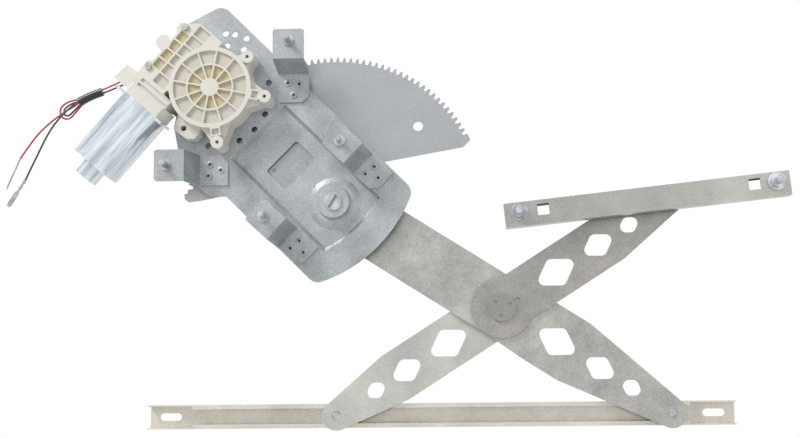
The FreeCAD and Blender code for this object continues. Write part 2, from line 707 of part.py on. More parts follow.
def make_screws():
    """Rivets between sector and arm, the gearbox's screws from behind and its front screws."""
    rise, shank = 0.9, s.sector_rivet
    rivet = turned_body("sector_rivet", steps(
        (shank + 1.5, SECTOR_FRONT - rise, SECTOR_FRONT), (shank, SECTOR_FRONT, ARM_BACK),
        (shank + 1.5, ARM_BACK, ARM_BACK + rise)), (0, 0))
    places = [turned((s.rivet_ring, 0), turn - s.rest_angle) for turn in RIVET_TURNS]
    group("sector_rivets", rivet, [(place, 0) for place in places])
    screw = turned_body("ear_screw", steps(
        (s.ear_bore - s.fit, PLATE_FRONT - 16, PLATE_BACK),
        (s.screw_head, PLATE_BACK, PLATE_BACK + 2.2)), (0, 0))
    group("gearbox_screws", screw, [(moved(OUTPUT, turned(ear, s.motor_angle)), 0) for ear in EARS])
    front = s.housing_front
    cap = turned_body("cap_screw", steps(
        (s.screw_head, front - 2.2, front), (FRONT_SCREW - s.fit, front, front + 12)), (0, 0))
    group("housing_screws", cap, [(moved(OUTPUT, turned(spot, s.motor_angle)), 0) for spot in FRONT_SCREWS])


def dimple_hub(body, front):
    """Three punched dimples in the face of the hub."""
    sketch = front_sketch(body, front)
    for turn in (20, 140, 260):
        add_circle(sketch, turned((8.5, 0), turn), 2)
    pocket(body, sketch, 1)


def make_slider_pin(label, place, front, web):
    """Pin with a flush front, riveted into its arm, that reaches back into the glass channel."""
    far = web - 2 * s.running_gap
    piece(turned_body(label, steps(
        (s.slider_pin - 1, front, front + 0.5), (s.slider_pin - s.fit, front + 0.5, far)), place))


# Channels and sliders. Each channel is a folded section with two lips, run along its own X axis.

def channel_section(front, back, lip_back):
    """Folded section about the X axis: web, two flanges and two lips on the other side."""
    half, sheet, lip = s.channel_high / 2, s.channel_sheet, s.channel_lip
    web, turn = (back, -1) if lip_back < 0 else (front, 1)
    edge = front if lip_back < 0 else back
    inner, rim = web + turn * sheet, edge - turn * sheet
    return [(web, -half), (edge, -half), (edge, lip - half), (rim, lip - half), (rim, sheet - half),
            (inner, sheet - half), (inner, half - sheet), (rim, half - sheet), (rim, half - lip),
            (edge, half - lip), (edge, half), (web, half)]


def make_glass_channel():
    """Channel that is bolted to the foot of the glass. Its ends are bare tabs with a slot each."""
    body = new_body("glass_channel", (0, LEFT_END[1]))
    sketch = new_sketch(body, "YZ_Plane", -s.glass_left)
    add_path(sketch, channel_section(GLASS_FRONT, GLASS_BACK, -1))
    pad_along(body, sketch, s.glass_left + s.glass_right)
    half = s.channel_high / 2
    open_ends = front_sketch(body, GLASS_FRONT - 1)
    inside = half - s.channel_sheet
    left, right = s.glass_tab - s.glass_left, s.glass_right - s.glass_tab
    for start, stop in ((-s.glass_left - 1, left), (right, s.glass_right + 1)):
        add_path(open_ends, box(start, -inside, stop, inside))
    pocket(body, open_ends, s.channel_deep - s.channel_sheet)
    slots = front_sketch(body, GLASS_FRONT - 1)
    for middle in (-s.slot_left, s.slot_right):
        add_slot(slots, middle, 0, s.slot_long, s.slot_high)
    pocket(body, slots, s.channel_deep + 2)
    return piece(body)


def add_slot(sketch, x, z, long, high):
    """Round-ended slot, lying along X."""
    run, rise = (long - high) / 2, high / 2
    points = [(x - run, z - rise), (x + run, z - rise), (x + run, z + rise), (x - run, z + rise)]
    add_path(sketch, points, {1: ((x + run, z), 1), 3: ((x - run, z), 1)})


def make_equalizer_channel():
    """Short channel that is bolted to the door panel and opens backwards."""
    body = new_body("equalizer_channel", UPPER_END, -s.channel_tilt)
    sketch = new_sketch(body, "YZ_Plane", -s.equalizer_left)
    add_path(sketch, channel_section(EQUALIZER_FRONT, EQUALIZER_BACK, 1))
    pad_along(body, sketch, s.equalizer_left + s.equalizer_right)
    holes = front_sketch(body, EQUALIZER_FRONT)
    for x in (-s.bolt_left, s.bolt_right):
        add_circle(holes, (x, s.bolt_offset), s.bolt_neck + s.fit)
    half = s.square_hole / 2
    for x in (24 - s.bolt_left, s.bolt_right - 22):
        add_path(holes, box(x - half, 2.5 - half, x + half, 2.5 + half))
    pocket(body, holes, s.channel_sheet)
    return piece(body)


def make_equalizer_bolts():
    """Two bolts whose heads lie inside the channel, each with a flanged nut against its face."""
    far = EQUALIZER_FRONT
    sheet = s.channel_sheet
    bolt = turned_body("bolt", steps(
        (s.bolt_radius - 0.8, far - s.bolt_length, far - s.bolt_length + 1),
        (s.bolt_radius, far - s.bolt_length + 1, far - 6), (s.bolt_radius + 2.2, far - 6, far - 1.4),
        (s.bolt_flange, far - 1.4, far), (s.bolt_neck, far, far + sheet),
        (s.bolt_flange - 1.5, far + sheet, far + 2 * sheet)), (0, 0))
    spots = [(x, s.bolt_offset) for x in (-s.bolt_left, s.bolt_right)]
    places = [moved(UPPER_END, turned(spot, s.channel_tilt)) for spot in spots]
    group("equalizer_bolts", bolt, [(place, 0) for place in places])


def make_slider(label, place, angle, front, back):
    """Plastic shoe that slides between the flanges and turns on its pin."""
    body = new_body(label, place, angle)
    half = s.channel_high / 2 - s.channel_sheet - s.running_gap
    long = s.slider_long / 2
    sketch = front_sketch(body, front)
    corners = box(-long, -half, long, half)
    add_path(sketch, corners)
    pad(body, sketch, back - front)
    bore = front_sketch(body, front)
    add_circle(bore, (0, 0), s.slider_pin + s.fit)
    pocket(body, bore, back - front)
    round_corners(body, corners, 4)
    return piece(body)


def make_sliders():
    gap, sheet = s.running_gap, s.channel_sheet
    front, back = GLASS_FRONT + sheet + gap, GLASS_BACK - sheet - gap
    make_slider("right_slider", RIGHT_END, 0, front, back)
    make_slider("left_slider", LEFT_END, 0, front, back)
    make_slider("upper_slider", UPPER_END, -s.channel_tilt, EQUALIZER_FRONT + sheet + gap,
                EQUALIZER_BACK - sheet - gap)


# The gear motor, in a frame about the output shaft with X along the motor's axis, away from the can.

def motor_body(label):
    return new_body(label, OUTPUT, -s.motor_angle)


def can_outline(sketch, radius, flat):
    """Section of the can: a circle about the motor's axis with two flats."""
    half = root(radius * radius - flat * flat)
    middle = (MOTOR_MIDDLE, s.motor_offset)
    points = [(middle[0] - flat, middle[1] - half), (middle[0] + flat, middle[1] - half),
              (middle[0] + flat, middle[1] + half), (middle[0] - flat, middle[1] + half)]
    add_path(sketch, points, {0: (middle, 1), 2: (middle, 1)})


LEAD_DEPTH = 20
EXIT_HEIGHTS = (79.5, 75)


def make_housing():
    """Moulded housing: a ribbed drum over the worm wheel, a celled tunnel over the worm, and ears."""
    body = motor_body("gear_housing")
    front, deep = s.housing_front, PLATE_FRONT - s.housing_front
    tunnel = front_sketch(body, front)
    top = s.tunnel_top
    add_path(tunnel, [(-46, 20), (s.tunnel_right, 20), (s.tunnel_right, 50), (30, top + 4), (24, top + 4),
                      (20, top), (-16, top), (-20, top + 4), (-46, top + 4)])
    pad(body, tunnel, deep)
    make_motor_flange(body)
    add_wire_tower(body)
    cut_cells(body)
    rim = s.drum_radius
    spin(body, [(0, front), (rim, front), (rim + 0.8, PLATE_FRONT), (0, PLATE_FRONT)])
    add_ears(body)
    hollow_housing(body)
    return piece(body)


def make_motor_flange(body):
    """Flange that closes the mouth of the can, with the can's own section."""
    sketch = new_sketch(body, "YZ_Plane", -s.flange_back)
    can_outline(sketch, s.can_radius, s.can_flat)
    pad_along(body, sketch, s.flange_thick)


def add_wire_tower(body):
    """Tower beside the flange that the wires leave through."""
    sketch = front_sketch(body, MOTOR_MIDDLE - 6)
    face = -s.flange_back + 3
    add_path(sketch, [(face, 62), (-34, 62), (-36, 74), (-37, 82), (face, 84)])
    pad(body, sketch, 15)
    exits = new_sketch(body, "YZ_Plane", face)
    for height in EXIT_HEIGHTS:
        add_circle(exits, (LEAD_DEPTH, height), s.wire_radius + 0.4)
    add_feature(body, "Pocket", exits, 4, True)


def cut_cells(body):
    """Two rows of shallow cells in the face of the tunnel, two grooves in its neck, and a gap
    right through between the tunnel and the drum."""
    sketch = front_sketch(body, s.housing_front)
    wall, top = s.cell_rib / 2, s.tunnel_top - 2
    rows = ((49.4 + wall, top, -20.9, 11.8, 4), (34, 49.4 - wall, -33, 12.4, 6))
    for low, high, left, pitch, count in rows:
        for index in range(count):
            start = left + index * pitch + wall
            add_path(sketch, box(start, low, start + pitch - s.cell_rib, high))
    pocket(body, sketch, s.housing_floor)
    neck = front_sketch(body, s.housing_front)
    for left, right in ((-45.5, -42.5), (-40, -36.5)):
        add_path(neck, box(left, 20, right, 58))
    pocket(body, neck, s.cell_rib)
    gap = front_sketch(body, s.housing_front)
    add_path(gap, [(-31, 31), (-24, 21), (-36, 21), (-35.5, 31)])
    pocket(body, gap, PLATE_FRONT)


def add_ears(body):
    """Three screwed ears, each on a web that widens to the drum, and the lug beside the can."""
    front = s.housing_front
    sketch = front_sketch(body, front)
    for ear in EARS:
        add_circle(sketch, ear, s.ear_radius)
    add_circle(sketch, (4.4, 66.3), 7.5)
    pad(body, sketch, PLATE_FRONT - front)
    for ear in EARS:
        web = front_sketch(body, front + 5)
        far = math.hypot(*ear)
        along = (ear[0] / far, ear[1] / far)
        side = (-along[1], along[0])
        reach = far - 14
        corner = [(ear[0] + k * 5.2 * side[0], ear[1] + k * 5.2 * side[1]) for k in (1, -1)]
        root_point = [(along[0] * reach * 0.9 + k * 15 * side[0], along[1] * reach * 0.9 + k * 15 * side[1])
                      for k in (-1, 1)]
        add_path(web, corner + root_point)
        pad(body, web, PLATE_FRONT - front - 5)
        if far > s.drum_radius + 2 * s.ear_radius:
            add_bridge(body, along, side)
    lug = front_sketch(body, front + 10)
    add_path(lug, [(-56, 3), (-55, -13), (-50, -19), (-43, -20), (-36, -16), (-36, 12)])
    pad(body, lug, PLATE_FRONT - front - 10)


def add_bridge(body, along, side):
    """Two ribs from the drum to an outer ear, with a shallow pocket between them."""
    front, near, far = s.housing_front, s.drum_radius - 1, s.drum_radius + 9

    def outline(start, stop, half):
        return [(along[0] * x + side[0] * z, along[1] * x + side[1] * z)
                for x, z in ((start, -half), (stop, -half), (stop, half), (start, half))]

    block = front_sketch(body, front)
    add_path(block, outline(near, far, 5))
    pad(body, block, 8)
    recess = front_sketch(body, front)
    add_path(recess, outline(near + 2.5, far - 1.2, 3.6))
    pocket(body, recess, s.housing_floor)


def hollow_housing(body):
    """Front recess with its spokes, the wheel's chamber, the worm's tunnel and the screw holes."""
    front, floor = s.housing_front, HOUSING_FLOOR
    ring = s.middle_ring
    for inner, outer in ((s.hub_ring, ring - 0.9), (ring + 0.9, s.rim_inside)):
        spin(body, [(inner, front - 1), (outer, front - 1), (outer, floor), (inner, floor)], cut=True)
    rib = front_sketch(body, front)
    add_path(rib, box(s.hub_ring - 1, -s.rib_thick / 2, s.rim_inside + 1, s.rib_thick / 2))
    spoke = pad(body, rib, s.housing_floor + 0.5)
    repeat_round(body, spoke, rib, s.rib_count)
    chamber = front_sketch(body, CAVITY_FRONT)
    add_circle(chamber, (0, 0), CAVITY_RADIUS)
    pocket(body, chamber, PLATE_FRONT - CAVITY_FRONT)
    socket = front_sketch(body, front + 1)
    add_circle(socket, (0, 0), 5 + s.fit)
    pocket(body, socket, CAVITY_FRONT)
    holes = front_sketch(body, front - 1)
    for ear in EARS:
        add_circle(holes, ear, s.ear_bore)
    add_circle(holes, (-48.5, -4), s.ear_bore + 1.2)
    pocket(body, holes, PLATE_FRONT)
    threads = front_sketch(body, front)
    for spot in FRONT_SCREWS:
        add_circle(threads, spot, FRONT_SCREW)
    pocket(body, threads, 13)
    worm = new_sketch(body, "YZ_Plane", -s.flange_back)
    add_circle(worm, (MOTOR_MIDDLE, s.motor_offset), s.worm_radius + 1)
    add_feature(body, "Pocket", worm, s.flange_back + s.tunnel_right - 5, True)


def make_cover():
    """Disc that closes the wheel's chamber, flush with the plate's face."""
    body = motor_body("housing_cover")
    sketch = front_sketch(body, PLATE_FRONT - s.cover_thick)
    add_circle(sketch, (0, 0), CAVITY_RADIUS - s.fit)
    pad(body, sketch, s.cover_thick)
    bore = front_sketch(body, PLATE_FRONT - s.cover_thick)
    add_circle(bore, (0, 0), s.hub_shaft + s.fit)
    pocket(body, bore, s.cover_thick)
    return piece(body)


def make_can():
    """Drawn steel can with flats in front and behind, and a bearing boss on its closed end."""
    body = motor_body("motor_can")
    sketch = new_sketch(body, "YZ_Plane", -s.flange_back)
    can_outline(sketch, s.can_radius, s.can_flat)
    pad_along(body, sketch, s.can_length, True)
    hollow = new_sketch(body, "YZ_Plane", -s.flange_back)
    can_outline(hollow, s.can_radius - s.can_wall, s.can_flat - s.can_wall)
    add_feature(body, "Pocket", hollow, s.can_length - s.can_wall, False)
    boss = new_sketch(body, "YZ_Plane", -s.flange_back - s.can_length)
    add_circle(boss, (MOTOR_MIDDLE, s.motor_offset), s.can_boss)
    pad_along(body, boss, s.can_boss_long, True)
    add_can_marks(body)
    bore = new_sketch(body, "YZ_Plane", -s.flange_back - s.can_length - s.can_boss_long + s.can_wall)
    add_circle(bore, (MOTOR_MIDDLE, s.motor_offset), s.can_boss - 1.2)
    add_feature(body, "Pocket", bore, s.can_boss_long + s.can_wall, True)
    return piece(body)


def add_can_marks(body):
    """Flange round the can's mouth, and the sunk panel and the raised bar along its front flat."""
    mouth, flat, middle = -s.flange_back, MOTOR_MIDDLE - s.can_flat, s.motor_offset
    bar = front_sketch(body, flat - s.can_bar)
    add_path(bar, box(mouth - s.can_length + 3, middle - 18.3, mouth - 1, middle - 10.8))
    pad(body, bar, 3 * s.can_bar)
    panel = front_sketch(body, flat)
    add_path(panel, box(mouth - s.can_length + 4, middle - 7.5, mouth - 5, middle + 16.5))
    pocket(body, panel, s.can_bar)
    lip = new_sketch(body, "YZ_Plane", mouth)
    add_path(lip, box(flat + 1, middle - s.can_radius - 2, PLATE_FRONT - 0.5, middle + s.can_radius + 7))
    pad_along(body, lip, s.can_lip, True)
    inside = new_sketch(body, "YZ_Plane", mouth)
    can_outline(inside, s.can_radius - s.can_wall, s.can_flat - s.can_wall)
    add_feature(body, "Pocket", inside, s.can_lip, False)


def gear(label, teeth, mesh, front, wide, bore):
    """Spur gear cut from a disc, tooth gap by tooth gap."""
    body = motor_body(label)
    pitch = mesh * teeth / 2
    disc = front_sketch(body, front)
    add_circle(disc, (0, 0), pitch + mesh)
    pad(body, disc, wide)
    hole = front_sketch(body, front)
    add_circle(hole, (0, 0), bore)
    pocket(body, hole, wide)
    sketch = front_sketch(body, front)
    return body, sketch, pitch


def make_gears():
    """Worm wheel on its rubber damper, the drive hub, and the steel pinion behind the plate."""
    mesh = s.wheel_module
    middle = MOTOR_MIDDLE - s.wheel_wide / 2
    body, sketch, pitch = gear("worm_wheel", s.wheel_teeth, mesh, middle, s.wheel_wide, 24)
    add_path(sketch, tooth_gap(pitch, mesh))
    gap = pocket(body, sketch, s.wheel_wide)
    repeat_round(body, gap, sketch, s.wheel_teeth)
    piece(body)
    piece(turned_body("rubber_damper", [
        (14, middle + 1), (24 - s.fit, middle + 1), (24 - s.fit, middle + s.wheel_wide - 1),
        (14, middle + s.wheel_wide - 1)], OUTPUT))
    pinion_front = SECTOR_FRONT - (s.pinion_wide - s.sector_sheet) / 2
    pinion_back = pinion_front + s.pinion_wide
    piece(turned_body("drive_hub", steps(
        (5, s.housing_front + 1.5, middle), (14 - s.fit, middle, middle + s.wheel_wide),
        (s.hub_shaft, middle + s.wheel_wide, pinion_front),
        (s.pinion_shaft, pinion_front, pinion_back + 2)), OUTPUT))
    piece(turned_body("retaining_clip", [
        (s.pinion_shaft + s.fit, pinion_back + 0.05), (s.hub_shaft + 1.5, pinion_back + 0.05),
        (s.hub_shaft + 1.5, pinion_back + 1.05), (s.pinion_shaft + s.fit, pinion_back + 1.05)], OUTPUT))
    body, sketch, pitch = gear("pinion", s.pinion_teeth, s.gear_module, pinion_front, s.pinion_wide,
                               s.pinion_shaft + s.fit)
    face = s.mesh_angle + 180 - s.motor_angle + 180 / s.pinion_teeth
    add_path(sketch, [turned(corner, face) for corner in tooth_gap(pitch, s.gear_module)])
    gap = pocket(body, sketch, s.pinion_wide)
    repeat_round(body, gap, sketch, s.pinion_teeth)
    piece(body)


def on_motor_axis(label, points):
    """Turned piece on the motor's axis, from its half profile of X and radius."""
    body = new_body(label, moved(OUTPUT, turned((0, s.motor_offset), s.motor_angle)), -s.motor_angle)
    bind(body, ".Placement.Base.y", MOTOR_MIDDLE)
    spin(body, points, "H_Axis")
    return body


def make_armature():
    """Shaft with its worm, the laminated core and the commutator."""
    end = -s.flange_back - s.can_length - s.can_boss_long + 2 * s.can_wall
    worm, half = s.worm_radius, s.worm_half
    points = [(end, 0), (end, s.shaft_radius), (-half, s.shaft_radius), (-half, worm - 2)]
    count = 8
    for index in range(count):
        x = -half + (index + 0.25) * 2 * half / count
        points += [(x, worm), (x + half / count, worm), (x + 1.5 * half / count, worm - 2)]
    points += [(half, s.shaft_radius), (s.tunnel_right - 6, s.shaft_radius), (s.tunnel_right - 6, 0)]
    piece(on_motor_axis("armature_shaft", points))
    start = -s.flange_back - 14
    bore = s.shaft_radius + s.fit
    core = on_motor_axis("armature_core", [
        (start - s.core_long, bore), (start, bore), (start, s.core_radius),
        (start - s.core_long, s.core_radius)])
    slot = new_sketch(core, "YZ_Plane", start)
    add_path(slot, box(-1.2, s.core_radius - 6, 1.2, s.core_radius + 1))
    cut = add_feature(core, "Pocket", slot, s.core_long, False)
    repeat_round(core, cut, slot, 8)
    piece(core)
    piece(on_motor_axis("commutator", [
        (start + 2, bore), (start + 12.5, bore), (start + 12.5, 8), (start + 2, 8)]))


def make_motor_inside():
    """Two curved magnets against the can's wall and the brush holder across its mouth."""
    body = motor_body("magnet")
    middle = (MOTOR_MIDDLE, s.motor_offset)
    outer, inner, half = s.can_radius - s.can_wall - s.fit, s.magnet_inside, s.magnet_half
    high, low = root(outer * outer - half * half), root(inner * inner - half * half)
    magnets = body
    magnets.Label = "motor_magnets"
    magnets.AllowCompound = True
    sketch = new_sketch(body, "YZ_Plane", -s.flange_back - 16)
    for sign in (1, -1):
        corners = ((half, low), (half, high), (-half, high), (-half, low))
        points = [(middle[0] + sign * x, middle[1] + sign * z) for x, z in corners]
        add_path(sketch, points, {1: (middle, 1), 3: (middle, -1)})
    pad_along(body, sketch, s.core_long - 4, True)
    piece(magnets)
    holder = motor_body("brush_holder")
    plate = new_sketch(holder, "YZ_Plane", -s.flange_back - 3)
    can_outline(plate, s.can_radius - s.can_wall - s.fit, s.can_flat - s.can_wall - s.fit)
    pad_along(holder, plate, 2.5, True)
    bore = new_sketch(holder, "YZ_Plane", -s.flange_back - 3)
    add_circle(bore, middle, 9.5)
    add_feature(holder, "Pocket", bore, 2.5, False)
    piece(holder)


# The motor leads: plain tubes of straight runs joined by tangent arcs.

# Both leads leave the tape, fold back into it and leave it again in front of their own loop.
RED_ROUTE = (
    (-236.3, 20.4, 118.2), (-248.5, 20.6, 113.7), (-260.1, 20.6, 109.1), (-271.5, 21.2, 107.3),
    (-280, 21.6, 100.6), (-278.6, 21.8, 90.8), (-270, 21.8, 88.2), (-262.6, 21.6, 97),
    (-256.1, 21.5, 104.6), (-250.1, 21.5, 107.1), (-250.7, 17.3, 108.5), (-257.1, 18.5, 105.8),
    (-265.5, 18.7, 100.6), (-274.5, 18.9, 95.4), (-290.8, 19, 83.6),
    (-305.5, 20, 69.1), (-318.9, 20, 48.9))
GREEN_ROUTE = (
    (-234.8, 20, 114.6), (-247.9, 22.2, 112.4), (-259.5, 22.3, 107.7), (-269, 22.2, 105),
    (-276, 22, 99.4), (-275.2, 21.8, 93.3), (-270.6, 21.8, 92.2), (-265.4, 21.9, 97.6),
    (-256.8, 22.2, 106.4), (-251.4, 22.2, 108.7), (-252, 18.1, 110.1), (-257.8, 16.5, 107.4),
    (-266, 16.2, 100.4), (-277.3, 16.6, 90.3), (-289.1, 17.6, 75.2),
    (-301.3, 20, 52.3), (-313.2, 20, 26.8))
TAPE_ROUTE = ((-235.1, 20.3, 116.7), (-246.9, 20.3, 112.6), (-259.3, 20.3, 106.5))


def lead_route(exit_height, route):
    """The route of one lead, from its exit in the wire tower."""
    x, z = moved(OUTPUT, turned((3 - s.flange_back, exit_height), s.motor_angle))
    return [Vector(float(x), LEAD_DEPTH, float(z)), *[Vector(*point) for point in route]]


def tube(label, points, radius):
    """Tube along straight runs. Each bend's radius is as large as its two runs allow."""
    edges = []
    here = points[0]
    for index in range(1, len(points) - 1):
        corner = points[index]
        into, out = corner - points[index - 1], points[index + 1] - corner
        reach = 0.45 * min(into.Length, out.Length)
        bend = reach / math.tan(into.getAngle(out) / 2)
        into.normalize()
        out.normalize()
        start, stop = corner - into * reach, corner + out * reach
        aside = out - into
        aside.normalize()
        middle = corner + aside * math.hypot(bend, reach) - aside * bend
        edges.append(Part.LineSegment(here, start).toShape())
        edges.append(Part.Arc(start, middle, stop).toShape())
        print(f"{label}: bend {index} has a radius of {bend:.0f} mm")
        here = stop
    edges.append(Part.LineSegment(here, points[-1]).toShape())
    path = Part.Wire(edges)
    circle = Part.Circle(points[0], points[1] - points[0], float(radius)).toShape()
    solid = path.makePipeShell([Part.Wire([circle])], True, False)
    print(f"{label}: length {path.Length:.1f} mm, volume ratio "
          f"{solid.Volume / (path.Length * math.pi * float(radius) ** 2):.4f}")
    feature = DOCUMENT.addObject("Part::Feature", label)
    feature.Label = label
    feature.Shape = solid
    return piece(feature)


def make_leads():
    """Red lead with a bare tinned end, dark green lead with a crimped terminal, and the tape."""
    red, green = map(lead_route, EXIT_HEIGHTS, (RED_ROUTE, GREEN_ROUTE))
    tube("red_wire", red, s.wire_radius)
    tube("green_wire", green, s.wire_radius)
    tube("tape_wrap", [Vector(*point) for point in TAPE_ROUTE], s.tape_radius)
    tube("red_bare_end", [red[-1], Vector(-332.5, LEAD_DEPTH, 17.6)], s.bare_radius)
    end = GREEN_ROUTE[-1]
    body = new_body("green_terminal", (end[0], end[2]), 122.6)
    bind(body, ".Placement.Base.y", LEAD_DEPTH)
    crimp = s.crimp_radius
    spin(body, [(0, 0), (0, crimp), (4, crimp), (4.6, crimp - 0.6), (6, crimp - 0.6),
                (6.6, crimp), (11, crimp), (12, crimp - 0.7), (13.5, crimp - 0.7), (13.5, 0)], "H_Axis")
    blade = front_sketch(body, -0.5)
    add_path(blade, [(13, -1), (16, -2.2), (30, -2.2), (32, -1), (32, 1), (30, 2.2), (16, 2.2), (13, 1)])
    pad(body, blade, 1)
    piece(body)


def make_all():
    make_lift_arm()
    make_half_arm("equalizer_arm_upper", UPPER_FRONT, -s.rest_angle, HUB_NOTCH)
    make_half_arm("equalizer_arm_lower", LOWER_FRONT, 180 - s.rest_angle)
    make_sector()
    make_base_plate()
    for label in BRACKETS:
        make_bracket(label)
    make_fasteners()
    make_pivots()
    make_screws()
    make_glass_channel()
    make_equalizer_channel()
    make_equalizer_bolts()
    make_sliders()
    make_housing()
    make_cover()
    make_can()
    make_gears()
    make_armature()
    make_motor_inside()
    make_leads()


def check_and_export():
    """Refuse a failed feature or a broken shape, then write one file per piece."""
    DOCUMENT.recompute()
    failed = [item.Name for item in DOCUMENT.Objects if {"Invalid", "Error"} & set(item.State)]
    if failed:
        raise RuntimeError(f"features failed: {failed}")
    broken = [item.Label for item in PIECES if item.Shape.isNull() or not item.Shape.isValid()]
    if broken:
        raise RuntimeError(f"shapes broken: {broken}")
    os.makedirs("parts", exist_ok=True)
    for item in PIECES:
        item.Shape.exportStep(f"parts/{item.Label}.step")
        print(f"{item.Label}: {len(item.Shape.Solids)} solids, {item.Shape.Volume / 1000:.2f} cm3")


make_all()
check_and_export()
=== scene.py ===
import math
import bmesh
import bpy
from mathutils import Matrix, Vector


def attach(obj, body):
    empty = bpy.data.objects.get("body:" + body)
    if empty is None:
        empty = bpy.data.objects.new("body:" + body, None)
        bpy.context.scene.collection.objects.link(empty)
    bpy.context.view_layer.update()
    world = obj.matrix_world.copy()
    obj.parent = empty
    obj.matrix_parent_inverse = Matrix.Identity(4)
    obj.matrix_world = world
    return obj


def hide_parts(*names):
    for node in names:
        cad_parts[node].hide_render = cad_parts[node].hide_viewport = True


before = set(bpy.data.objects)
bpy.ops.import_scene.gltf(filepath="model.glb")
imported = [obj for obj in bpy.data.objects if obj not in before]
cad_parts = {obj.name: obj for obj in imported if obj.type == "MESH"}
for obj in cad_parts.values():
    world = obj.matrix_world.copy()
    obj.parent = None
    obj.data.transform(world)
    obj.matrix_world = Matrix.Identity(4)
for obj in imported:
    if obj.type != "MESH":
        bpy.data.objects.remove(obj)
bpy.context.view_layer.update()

# The camera stands where the photograph was taken, about a metre in front of the regulator and low
# beside its middle. It looks a little up and to the left, and the film is shifted for the crop.
EYE = (0.17623, -1.04616, -0.19016)
YAW, PITCH, ROLL = math.radians(2.0), math.radians(4.4), math.radians(0.55)
FILM_WIDTH, FOCAL_LENGTH = 36, 48.6
FILM_SHIFT = (-0.09, 0.11)
aim = Vector((-math.sin(YAW) * math.cos(PITCH), math.cos(YAW) * math.cos(PITCH), math.sin(PITCH)))
level = Vector((math.cos(YAW), math.sin(YAW), 0))
above = level.cross(aim)
right = math.cos(ROLL) * level - math.sin(ROLL) * above
up = math.sin(ROLL) * level + math.cos(ROLL) * above
lens = bpy.data.cameras.new("camera")
lens.sensor_width = FILM_WIDTH
lens.lens = FOCAL_LENGTH
lens.shift_x, lens.shift_y = FILM_SHIFT
camera = bpy.data.objects.new("camera", lens)
camera.matrix_world = Matrix.Translation(EYE) @ Matrix((right, up, -aim)).transposed().to_4x4()
bpy.context.scene.collection.objects.link(camera)
bpy.context.scene.camera = camera
bpy.context.scene.view_settings.view_transform = "Standard"


def linear(code):
    """A colour written in sRGB hex, turned to the linear values that the shaders use."""
    parts = [int(code[place:place + 2], 16) / 255 for place in (1, 3, 5)]
    return (*[c / 12.92 if c <= 0.04045 else ((c + 0.055) / 1.055) ** 2.4 for c in parts], 1)


def add_node(tree, kind, settings=None, links=None):
    """One node with its settings, by property or socket, and its links into those sockets."""
    made = tree.nodes.new(kind)
    for name, value in (settings or {}).items():
        if isinstance(name, str) and hasattr(made, name):
            setattr(made, name, value)
        else:
            made.inputs[name].default_value = value
    for name, source in (links or {}).items():
        tree.links.new(source, made.inputs[name])
    return made


# The studio: a pale floor well below the part, a white surround, and three soft lamps. Floor and
# surround are white to the eye and to the metal. The surround's own light fades towards the floor.
world = bpy.data.worlds.new("white_studio")
bpy.context.scene.world = world
world.use_nodes = True
sky = world.node_tree
sky.nodes.clear()
FLOOR_DEPTH = 1.3
facing = add_node(sky, "ShaderNodeTexCoord")
height = add_node(sky, "ShaderNodeSeparateXYZ", links={0: facing.outputs["Generated"]})
shade = add_node(sky, "ShaderNodeMapRange",
                 {"From Min": -0.6, "From Max": 0.7, "To Min": 0.22, "To Max": 0.72},
                 {"Value": height.outputs["Z"]})


def seen_rays(tree):
    """1 for the rays that see the studio itself: the camera's, off metal and through glass."""
    ray = add_node(tree, "ShaderNodeLightPath")
    eye_or_metal = add_node(tree, "ShaderNodeMath", {"operation": "MAXIMUM"},
                            {0: ray.outputs["Is Camera Ray"], 1: ray.outputs["Is Glossy Ray"]})
    return add_node(tree, "ShaderNodeMath", {"operation": "MAXIMUM"},
                    {0: eye_or_metal.outputs[0], 1: ray.outputs["Is Transmission Ray"]})


glow = add_node(sky, "ShaderNodeMix", {"data_type": "FLOAT", 3: 1.0},
                {0: seen_rays(sky).outputs[0], 2: shade.outputs[0]})
surround = add_node(sky, "ShaderNodeBackground", {"Color": linear("#ffffff")},
                    {"Strength": glow.outputs[0]})
add_node(sky, "ShaderNodeOutputWorld", links={"Surface": surround.outputs[0]})

paint = bpy.data.materials.new("white_studio_floor")
paint.use_nodes = True
coat = paint.node_tree
coat.nodes.clear()
chalk = add_node(coat, "ShaderNodeBsdfDiffuse", {"Color": linear("#f4f4f4")})
lit = add_node(coat, "ShaderNodeEmission", {"Color": linear("#ffffff"), "Strength": 1.0})
SHADOW_SHARE = 0.15
whiteness = add_node(coat, "ShaderNodeMath", {"operation": "MULTIPLY", 1: 1 - SHADOW_SHARE},
                     {0: seen_rays(coat).outputs[0]})
ground = add_node(coat, "ShaderNodeMixShader",
                  links={0: whiteness.outputs[0], 1: chalk.outputs[0], 2: lit.outputs[0]})
add_node(coat, "ShaderNodeOutputMaterial", links={"Surface": ground.outputs[0]})
floor_mesh = bpy.data.meshes.new("studio_floor")
REACH = 12
floor_mesh.from_pydata([(-REACH, -REACH, -FLOOR_DEPTH), (REACH, -REACH, -FLOOR_DEPTH),
                        (REACH, REACH, -FLOOR_DEPTH), (-REACH, REACH, -FLOOR_DEPTH)],
                       [], [(0, 1, 2, 3)])
floor_mesh.materials.append(paint)
floor = bpy.data.objects.new("studio_floor", floor_mesh)
bpy.context.scene.collection.objects.link(floor)


MIDDLE = Vector((0.1, 0, 0))


def soft_lamp(name, place, size, power):
    """A square lamp that faces the middle of the regulator."""
    bulb = bpy.data.lights.new(name, "AREA")
    bulb.size = size
    bulb.energy = power
    lamp = bpy.data.objects.new(name, bulb)
    lamp.location = place
    lamp.rotation_euler = (MIDDLE - lamp.location).to_track_quat("-Z", "Y").to_euler()
    bpy.context.scene.collection.objects.link(lamp)


soft_lamp("key_lamp", place=(-1.1, -0.9, 1.4), size=0.5, power=26)
soft_lamp("fill_lamp", place=(1.2, -1.5, 0.4), size=1.2, power=3)
soft_lamp("rear_lamp", place=(0.3, 1.6, 1.0), size=1.0, power=9)


